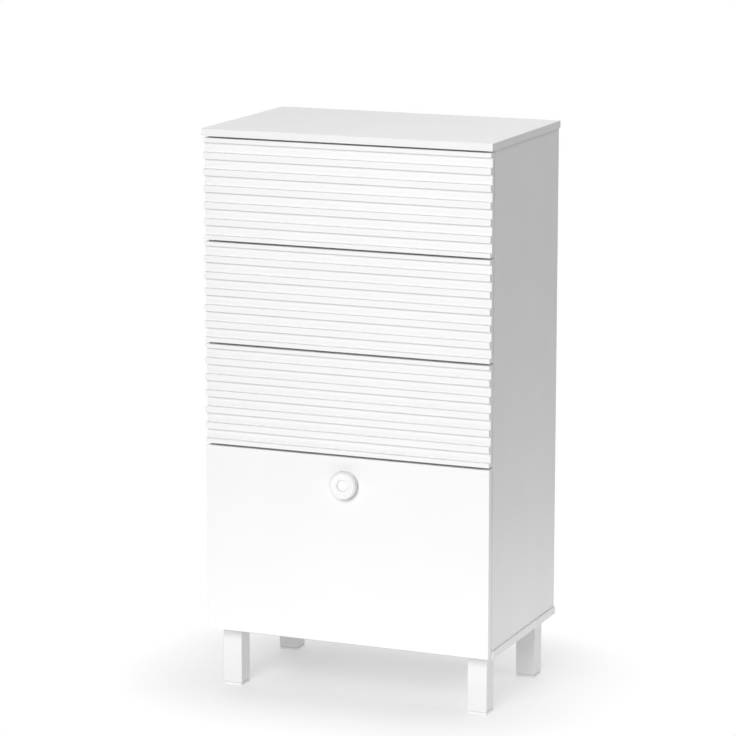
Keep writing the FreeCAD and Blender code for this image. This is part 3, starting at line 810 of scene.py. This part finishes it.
def carcass():
    """The five boards, with the pockets of the cam discs and the pilot holes for a wall strap."""
    for name, hand in HANDS.items():
        node = name + "_side_panel"
        low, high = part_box(node)
        inner = hand * side_low.x
        reach = sorted((inner - hand * CUT_OVERRUN, inner + hand * CAM_POCKET_DEPTH))
        pockets = [
            peg("x", (0, y, z), CAM_POCKET_RADIUS, *reach)
            for y in cam_rows
            for z in (side_low.z + CAM_OFFSET, side_high.z - CAM_OFFSET)
        ]
        stand_for(node, [board_grid(low, high, SIDE_EASE)], pockets)
    pockets = [
        peg(
            "z",
            (hand * (divider_high.x - CAM_OFFSET), y, 0),
            CAM_POCKET_RADIUS,
            divider_low.z - CUT_OVERRUN,
            divider_low.z + CAM_POCKET_DEPTH,
        )
        for y in cam_rows
        for hand in HANDS.values()
    ]
    stand_for("divider_shelf", [board_grid(divider_low, divider_high, BOX_EASE)], pockets)
    strap = next(mount for mount in record["mounts"] if mount["name"] == "wall_strap_holes")
    strap_x, strap_y, strap_z = strap["pos_m"]
    half_spacing = strap["dims"]["spacing_x_mm"] * MM / 2
    holes = [
        peg(
            "y",
            (strap_x + hand * half_spacing, 0, strap_z),
            strap["dims"]["hole_r_mm"] * MM,
            strap_y - STRAP_HOLE_DEPTH,
            strap_y + CUT_OVERRUN,
        )
        for hand in HANDS.values()
    ]
    stand_for("top_panel", [board_grid(top_low, top_high, BOARD_EASE)], holes)
    stand_for("bottom_panel", [board_grid(*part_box("bottom_panel"), BOARD_EASE)])


def legs():
    """Square legs with softly rounded edges, and the foot pads with the narrow neck above each."""
    pads = []
    for row in ("front", "back"):
        for name in HANDS:
            node = row + "_" + name + "_leg"
            low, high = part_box(node)
            corners = rectangle(low.xy, high.xy)
            outline = rounded_outline(corners, LEG_EASE * CORNER_SHARE)
            stand_for(node, [slab(outline, low.z, high.z, LEG_EASE)])
            foot = rounded_outline(corners, FOOT_CORNER)
            pad = slab(foot, 0, FOOT_HEIGHT, BOX_EASE)
            neck = carried(foot, (FOOT_NECK_INSET, FOOT_NECK_INSET), (FOOT_HEIGHT, low.z))
            pads.append(np.concatenate([pad, neck]))
    stand_for("foot_pads", pads)


# Fronts

def ribbed_front(node):
    """A drawer front: its upright section, with level ribs and channels on the outer face, runs along X.

    The section is a rectangle whose outer edge steps in and out: each channel gives four corners, from its
    upper edge on the crest line, in to its floor, down, and out to its lower edge.
    """
    low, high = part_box(node)
    upper_edge = high.z - UPPER_EDGE_LOSS[node]
    pitch = CHANNEL_HEIGHT + RIB_HEIGHT
    end_rib = (high.z - low.z + RIB_HEIGHT - CHANNEL_COUNT * pitch) / 2
    bottoms = low.z + end_rib + pitch * np.arange(CHANNEL_COUNT)[::-1]
    tops = bottoms + CHANNEL_HEIGHT
    floor = np.full(CHANNEL_COUNT, low.y + CHANNEL_DEPTH)
    crest = np.full(CHANNEL_COUNT, low.y)
    steps_y = np.stack([crest, floor, floor, crest], axis=1).reshape(-1)
    steps_z = np.stack([tops, tops, bottoms, bottoms], axis=1).reshape(-1)
    plain = rectangle((low.y, low.z), (high.y, upper_edge))
    corners = np.concatenate([plain, np.stack([steps_y, steps_z], axis=1)])
    rounds = np.tile([CREST_ROUND, CHANNEL_ROUND, CHANNEL_ROUND, CREST_ROUND], CHANNEL_COUNT)
    outline = rounded_outline(corners, np.concatenate([np.full(len(plain), EDGE_ROUND), rounds]))
    stand_for(node, [along("x", slab(outline, low.x, high.x, FRONT_EASE))])


def flap_and_knob():
    """The plain lower front, and its knob turned from a profile of radius and level along Y.

    From the recess at radius a to the rim at radius b, the dish's depth falls from the full one by the share
    ((r - a) / (b - a)) ** curve. The rim is a quarter of an ellipse, and the recess has a sloping wall.
    """
    flap_low, flap_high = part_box("laundry_flap")
    flap_high.z -= UPPER_EDGE_LOSS["laundry_flap"]
    stand_for("laundry_flap", [board_grid(flap_low, flap_high, FRONT_EASE)])
    low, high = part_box("knob")
    radius = (high.x - low.x) / 2
    front, face = low.y, high.y
    dish = front + KNOB_DISH_DEPTH
    recess = dish + KNOB_RECESS_DEPTH
    back = face - KNOB_NECK_LENGTH
    rim_start = radius - KNOB_RIM_WIDTH
    share = np.linspace(0, 1, KNOB_DISH_STEPS, endpoint=False)
    dish_radii = KNOB_RECESS_MOUTH + share * (rim_start - KNOB_RECESS_MOUTH)
    dish_levels = dish - share ** KNOB_DISH_CURVE * KNOB_DISH_DEPTH
    turn = np.linspace(0, math.pi / 2, KNOB_RIM_STEPS + 1)
    rim_radii = rim_start + KNOB_RIM_WIDTH * np.sin(turn)
    rim_levels = front + KNOB_RIM_DEPTH * (1 - np.cos(turn))
    profile = np.concatenate(
        [
            [(KNOB_RECESS_FLOOR * KNOB_CENTRE_SHARE, recess), (KNOB_RECESS_FLOOR, recess)],
            np.stack([dish_radii, dish_levels], axis=1),
            np.stack([rim_radii, rim_levels], axis=1),
            arc((radius - KNOB_BACK_ROUND, back - KNOB_BACK_ROUND), KNOB_BACK_ROUND, 0, 90),
            [(KNOB_NECK_RADIUS, back), (KNOB_NECK_RADIUS, face)],
        ]
    )
    centre = ((low.x + high.x) / 2, 0, (low.z + high.z) / 2)
    stand_for("knob", [along("y", turned(profile, KNOB_FACETS), centre)], finish=turned_knob_lacquer())


# Boxes

def drawer_boxes():
    """Sides and backs of the drawers."""
    for number in DRAWERS:
        for part in ("left_side", "right_side", "back"):
            node = f"drawer_{number}_{part}"
            stand_for(node, [board_grid(*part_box(node), BOX_EASE)])


def hamper_box():
    """The hamper's boards and the blocks that stop its tilt.

    The sides' upper edge is an arc about the hinge: centre + radius * (cos a, sin a).
    """
    hinge_y, hinge_z = joint_named["hamper_tilt"]["pos_m"][1:]
    _, back_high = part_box("bin_back")
    for name in HANDS:
        node = "bin_" + name + "_side"
        low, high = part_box(node)
        corner_angle = math.degrees(math.atan2(back_high.z - hinge_z, high.y - hinge_y))
        arch = arc((hinge_y, hinge_z), high.z - hinge_z, corner_angle, 90, ARCH_STEPS)
        corners = np.concatenate([[(low.y, low.z), (high.y, low.z)], arch])
        outline = rounded_outline(corners, BOX_EASE * CORNER_SHARE, ARCH_CORNER_STEPS)
        stand_for(node, [along("x", slab(outline, low.x, high.x, BOX_EASE))])
    for node in ("bin_back", "bin_floor"):
        stand_for(node, [board_grid(*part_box(node), BOX_EASE)])
    low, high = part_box("tilt_stop_blocks")
    blocks = [
        ((low.x, low.y, low.z), (low.x + STOP_WIDTH, high.y, high.z)),
        ((high.x - STOP_WIDTH, low.y, low.z), (high.x, high.y, high.z)),
    ]
    stand_for("tilt_stop_blocks", [board_grid(*block, BOX_EASE) for block in blocks])


# Runners and fittings

def runner_grid(box, hand, web, tip, half_height):
    """One runner member: a rolled channel section of a web and two flanges, carried along Y."""
    low, high = box
    middle = (low.z + high.z) / 2
    towards = 1 if tip > web else -1
    flange = web + towards * RUNNER_SHEET
    inside = half_height - RUNNER_SHEET
    section = np.array(
        [
            (-half_height, web),
            (-half_height, tip),
            (-inside, tip),
            (-inside, flange),
            (inside, flange),
            (inside, tip),
            (half_height, tip),
            (half_height, web),
        ]
    )
    rounds = np.full(len(section), RUNNER_LIP)
    rounds[[0, -1]] = RUNNER_BEND
    corners = np.stack([middle + section[:, 0], hand * (side_low.x - section[:, 1])], axis=1)
    if hand * towards < 0:
        corners, rounds = corners[::-1], rounds[::-1]
    return along("y", slab(rounded_outline(corners, rounds), low.y, high.y, RUNNER_EASE))


def punched_slot(hand, web, tip, y, z, half_length, half_height):
    """A cutter through a runner's web: a level slot with round ends, carried along X."""
    flange = web + math.copysign(RUNNER_SHEET, tip - web)
    near, far = min(web, flange) - SLOT_OVERRUN, max(web, flange) + SLOT_OVERRUN
    levels = sorted((hand * (side_low.x - near), hand * (side_low.x - far)))
    corners = rectangle((-half_length, -half_height), (half_length, half_height))
    outline = rounded_outline(corners, half_height * SLOT_END_SHARE, SLOT_END_STEPS)
    return along("x", carried(outline, (0, 0), levels), (0, y, z))


def cone(hand, face, y, z, wide, narrow, depth):
    """A countersink along X: it narrows from the face towards the side panel."""
    profile = [(wide, 0), (narrow, depth)] if hand > 0 else [(narrow, -depth), (wide, 0)]
    return along("x", turned(profile, SMALL_FACETS), (hand * face, y, z))


def cross_recess(axis, place, levels):
    """A cutter for a screwdriver's cross, carried along an axis between two levels.

    The outline has twelve corners: one arm's three corners, then the same three turned by a quarter, a half
    and three quarters of a circle.
    """
    half = CROSS_WIDTH / 2
    arm = np.array([(half, -CROSS_REACH), (half, -half), (CROSS_REACH, -half)])
    turned_arm = arm @ np.array([(0, 1), (-1, 0)])
    outline = rounded_outline(np.concatenate([arm, turned_arm, -arm, -turned_arm]), CROSS_ROUND)
    return along(axis, carried(outline, (0, 0), sorted(levels)), place)


def countersunk_screw(hand, face, y, z, tip):
    """A screw turned along X: a shallow dish inside a rim, then the cone down to the shank, and the shank."""
    rim = RUNNER_SCREW_HEAD - SCREW_DISH
    middle = RUNNER_SCREW_SHANK / 2
    dish = SCREW_DISH / 2
    profile = np.array(
        [
            (middle, dish),
            (rim - SCREW_DISH, dish),
            (rim, 0),
            (RUNNER_SCREW_HEAD, SCREW_DISH),
            (RUNNER_SCREW_SHANK, RUNNER_SHEET),
            (RUNNER_SCREW_SHANK, tip - face),
        ]
    )
    if hand < 0:
        profile = profile[::-1] * (1, -1)
    return along("x", turned(profile, SMALL_FACETS), (hand * face, y, z))


def runners():
    """The members of all runners: slots in their webs, and countersunk screws in the cabinet members."""
    screws, crosses = [], []
    face = side_low.x - RUNNER_SHEET
    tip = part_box("runner_screws")[1].x
    wide = RUNNER_SCREW_HEAD + SCREW_CLEARANCE
    narrow = RUNNER_SCREW_SHANK + SCREW_CLEARANCE
    for number in DRAWERS:
        for member, sizes in RUNNER_MEMBERS.items():
            node = f"drawer_{number}_{member}_runners"
            low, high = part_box(node)
            grids = [runner_grid((low, high), hand, **sizes) for hand in HANDS.values()]
            z = (low.z + high.z) / 2
            sinks = [
                punched_slot(
                    hand, sizes["web"], sizes["tip"], low.y + share * (high.y - low.y), z, *half_sizes
                )
                for share, *half_sizes in RUNNER_SLOTS[member]
                for hand in HANDS.values()
            ]
            if member == "outer":
                for hand in HANDS.values():
                    for share in RUNNER_SCREW_SHARES:
                        y = low.y + share * (high.y - low.y)
                        sinks.append(cone(hand, face, y, z, wide, narrow, RUNNER_SHEET))
                        screws.append(countersunk_screw(hand, face, y, z, tip))
                        levels = (hand * (face - SCREW_DISH), hand * (face + CROSS_DEPTH))
                        crosses.append(cross_recess("x", (0, y, z), levels))
            stand_for(node, grids, sinks)
    stand_for("runner_screws", screws, crosses)


def knob_screw():
    """The knob's screw, turned along Y: a plain shank, then a pan head with a cross recess."""
    low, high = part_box("knob_screw")
    head_radius = (high.x - low.x) / 2
    seat = high.y - KNOB_SCREW_HEAD_HEIGHT
    profile = np.concatenate(
        [
            [(KNOB_SCREW_SHANK, low.y), (KNOB_SCREW_SHANK, seat), (head_radius, seat)],
            arc((head_radius - KNOB_SCREW_ROUND, high.y - KNOB_SCREW_ROUND), KNOB_SCREW_ROUND, 0, 90),
        ]
    )
    centre = ((low.x + high.x) / 2, 0, (low.z + high.z) / 2)
    cross = cross_recess("y", centre, (high.y - KNOB_CROSS_DEPTH, high.y + SLOT_OVERRUN))
    stand_for("knob_screw", [along("y", turned(profile, SMALL_FACETS), centre)], [cross])


def push_units():
    """Push-open units: a moulded housing with rounded corners, and a round nose with a softened tip."""
    grids = []
    unit_low, unit_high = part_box("push_open_units")
    body_front = unit_low.y + PUSH_NOSE_LENGTH
    nose_centre = (PUSH_NOSE_RADIUS - PUSH_NOSE_ROUND, unit_low.y + PUSH_NOSE_ROUND)
    nose = np.concatenate(
        [
            [(PUSH_NOSE_FLAT, unit_low.y)],
            arc(nose_centre, PUSH_NOSE_ROUND, 270, 360),
            [(PUSH_NOSE_RADIUS, body_front + PUSH_EASE)],
        ]
    )
    for number in DRAWERS:
        low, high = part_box(f"drawer_{number}_outer_runners")
        middle = (low.z + high.z) / 2
        bottom, top = middle - PUSH_UNIT_HEIGHT / 2, middle + PUSH_UNIT_HEIGHT / 2
        housing = rounded_outline(rectangle((body_front, bottom), (unit_high.y, top)), PUSH_CORNER)
        for hand in HANDS.values():
            near, far = sorted((hand * side_low.x, hand * (side_low.x - PUSH_UNIT_WIDTH)))
            grids.append(along("x", slab(housing, near, far, PUSH_EASE)))
            centre = (hand * (side_low.x - RUNNER_WIDTH / 2), 0, middle)
            grids.append(along("y", turned(nose, SMALL_FACETS), centre))
    stand_for("push_open_units", grids)


def bumpers():
    """Silicone dots behind the flap: a cap of a sphere on each side panel's front edge.

    For a cap of radius r and height h, the sphere's radius is (r * r + h * h) / (2 * h).
    """
    low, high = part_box("flap_bumpers")
    height = high.y - low.y
    ball = (BUMPER_RADIUS ** 2 + height ** 2) / (2 * height)
    half_angle = math.degrees(math.asin(BUMPER_RADIUS / ball))
    cap = arc((0, low.y + ball), ball, 270, 270 + half_angle, BUMPER_STEPS)[1:]
    middle = (low.z + high.z) / 2
    x_centre = high.x - BUMPER_RADIUS
    dot = turned(cap, SMALL_FACETS)
    grids = [along("y", dot, (hand * x_centre, 0, middle)) for hand in HANDS.values()]
    stand_for("flap_bumpers", grids)


carcass()
legs()
for drawer_number in DRAWERS:
    ribbed_front(f"drawer_{drawer_number}_front")
flap_and_knob()
drawer_boxes()
hamper_box()
runners()
knob_screw()
push_units()
bumpers()


# Stage

def studio_floor():
    """A pale light table under the cabinet, with a painted shadow: grey round the cabinet's footprint,
    fading out into the white surroundings.
    """
    disc = carried(round_outline(FLOOR_RADIUS, FLOOR_FACETS), (0, 0), (-FLOOR_THICKNESS, -FLOOR_GAP))
    floor = bpy.data.objects.new("floor", mesh_of("floor", [disc]))
    bpy.context.scene.collection.objects.link(floor)
    material, tree, place = blank("pale_light_table_with_painted_shadow")
    # Painted shadow: grey in a rectangle round the cabinet, turning into plain white further away
    offset = add(tree, "VectorMath", {0: place["Object"], 1: FLOOR_SHADE_CENTRE}, operation="SUBTRACT")
    side = add(tree, "VectorMath", {0: offset.outputs[0]}, operation="ABSOLUTE")
    past = add(tree, "VectorMath", {0: side.outputs[0], 1: FLOOR_SHADE_HALF}, operation="SUBTRACT")
    outside = add(tree, "VectorMath", {0: past.outputs[0], 1: (0.0, 0.0, 0.0)}, operation="MAXIMUM")
    distance = add(tree, "VectorMath", {0: outside.outputs[0]}, operation="LENGTH")
    painted_shadow_fade = add(tree, "MapRange", {"Value": distance.outputs["Value"], "From Max": FLOOR_FADE})
    table = add(
        tree,
        "BsdfPrincipled",
        {
            "Base Color": linear(FLOOR_COLOUR),
            "Roughness": 0.7,
            "Specular IOR Level": 0.2,
            "Emission Color": linear("#FFFFFF"),
            "Emission Strength": FLOOR_GLOW,
        },
    )
    white = add(tree, "Emission", {"Color": linear("#FFFFFF"), "Strength": 1.0})
    mixed = add(
        tree,
        "MixShader",
        {"Fac": painted_shadow_fade.outputs["Result"], 1: table.outputs["BSDF"], 2: white.outputs["Emission"]},
    )
    add(tree, "OutputMaterial", {"Surface": mixed.outputs["Shader"]})
    floor.data.materials.append(material)


def studio_light():
    """White surroundings, brighter behind the cabinet, and softboxes aimed at it.

    The camera sees the surroundings as plain white. It doesn't see the softboxes, and nor do reflections.
    """
    world = bpy.data.worlds.new("white_studio")
    world.use_nodes = True
    tree = world.node_tree
    tree.nodes.clear()
    way = add(tree, "TexCoord", {}).outputs["Generated"]
    facing = add(tree, "VectorMath", {0: way, 1: BACKDROP_DIRECTION}, operation="DOT_PRODUCT")
    backdrop = add(
        tree,
        "MapRange",
        {
            "Value": facing.outputs["Value"],
            "From Min": BACKDROP_EDGE,
            "To Min": SKY_LIGHT,
            "To Max": BACKDROP_LIGHT,
        },
        interpolation_type="SMOOTHSTEP",
    )
    glow = add(tree, "Background", {"Color": linear("#FFFFFF"), "Strength": backdrop.outputs["Result"]})
    seen = add(tree, "Background", {"Color": linear("#FFFFFF"), "Strength": 1.0})
    path = add(tree, "LightPath", {})
    both = add(
        tree,
        "MixShader",
        {"Fac": path.outputs["Is Camera Ray"], 1: glow.outputs[0], 2: seen.outputs[0]},
    )
    add(tree, "OutputWorld", {"Surface": both.outputs[0]})
    bpy.context.scene.world = world
    for name, (place, target, size, power) in SOFTBOXES.items():
        light = bpy.data.lights.new(name, "AREA")
        light.size = size
        light.energy = power
        lamp = bpy.data.objects.new(name, light)
        lamp.visible_camera = False
        lamp.visible_glossy = False
        lamp.location = place
        lamp.rotation_euler = (Vector(target) - lamp.location).to_track_quat("-Z", "Y").to_euler()
        bpy.context.scene.collection.objects.link(lamp)


def camera():
    """A long lens, looking down a little from the cabinet's right."""
    lens = bpy.data.cameras.new("camera")
    lens.lens = CAMERA_LENS
    lens.sensor_width = CAMERA_SENSOR
    viewer = bpy.data.objects.new("camera", lens)
    viewer.location = CAMERA_PLACE
    viewer.rotation_euler = (math.radians(90 - CAMERA_PITCH), 0, math.radians(CAMERA_YAW))
    bpy.context.scene.collection.objects.link(viewer)
    bpy.context.scene.camera = viewer
    bpy.context.scene.view_settings.view_transform = "Standard"


studio_floor()
studio_light()
camera()
